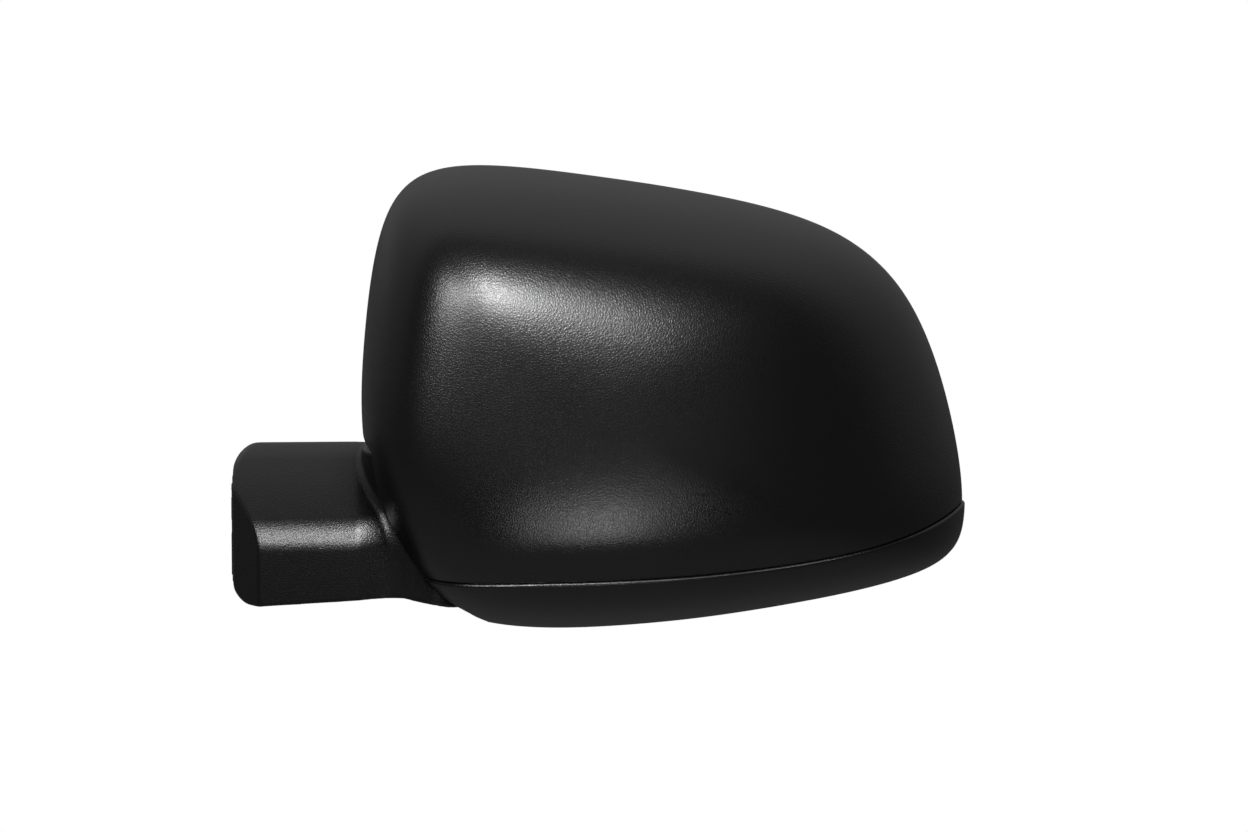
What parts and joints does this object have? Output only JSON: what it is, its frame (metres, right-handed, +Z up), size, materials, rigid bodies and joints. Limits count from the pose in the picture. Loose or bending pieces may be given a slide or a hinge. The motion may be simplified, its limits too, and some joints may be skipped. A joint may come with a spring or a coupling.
{
  "type": "door wing mirror",
  "caption": "Left door wing mirror with a grained black cover, a folding head on a cast arm and a power-adjusted glass.",
  "frame": {"origin": "middle of the two door bolts at the gasket's face against the door", "axes": "+X outboard from the door, -Y the way the cover faces (forward), +Y the glass side (rearward), +Z up"},
  "size_m": [0.2779, 0.1114, 0.1748],
  "materials": {
    "grained_plastic": "satin black with a fine leather grain",
    "plain_plastic": "plain matte black moulding",
    "cast_alloy": "as-cast, lightly blasted",
    "steel": "zinc plated",
    "nylon": "natural nylon",
    "rubber": "matte",
    "foam": "double-sided foam",
    "mirror": "silvered glass"
  },
  "bodies": {
    "arm": {"foot_bracket": "cast_alloy", "foot_cover": "grained_plastic", "foot_bottom_plate": "plain_plastic", "foot_gasket": "rubber", "cable_grommet": "rubber", "foot_screws": "steel", "detent_ring": "steel", "fold_spring": "steel", "spring_seat": "steel", "retaining_clip": "steel"},
    "head": {"thrust_washer": "steel", "head_bracket": "plain_plastic", "pivot_shroud": "plain_plastic", "cover_cap": "grained_plastic", "lower_cover": "grained_plastic", "rim_frame": "grained_plastic", "cap_clips": "nylon", "lower_cover_screws": "steel", "actuator_base": "plain_plastic", "actuator_lid": "plain_plastic", "actuator_screws": "steel", "tilt_motor": "nylon", "pan_motor": "nylon"},
    "tilt_drive": {"tilt_spindle": "nylon"},
    "pan_drive": {"pan_spindle": "nylon"},
    "gimbal": {"gimbal_cross": "nylon"},
    "glass": {"glass_carrier": "plain_plastic", "adhesive_pad": "foam", "mirror_glass": "mirror"}
  },
  "joints": [
    {"name": "head_fold", "type": "hinge", "parent": "arm", "child": "head", "pos_m": [0.07, 0, 0.035], "axis": [0, 0, 1], "range_deg": [0, 65]},
    {"name": "glass_pan", "type": "hinge", "parent": "head", "child": "gimbal", "pos_m": [0.16744, 0.023, 0.048], "axis": [0, 0, 1], "range_deg": [-8, 8]},
    {"name": "glass_tilt", "type": "hinge", "parent": "gimbal", "child": "glass", "pos_m": [0.16744, 0.023, 0.048], "axis": [1, 0, 0], "range_deg": [-8, 8]},
    {"name": "tilt_push", "type": "slide", "parent": "head", "child": "tilt_drive", "axis": [0, 1, 0], "range_m": [-0.00365, 0.00365]},
    {"name": "pan_push", "type": "slide", "parent": "head", "child": "pan_drive", "axis": [0, 1, 0], "range_m": [-0.00365, 0.00365]}
  ],
  "couplings": [
    {"joint": "tilt_push", "follows": "glass_tilt", "m_per_rad": 0.026},
    {"joint": "pan_push", "follows": "glass_pan", "m_per_rad": 0.026}
  ]
}
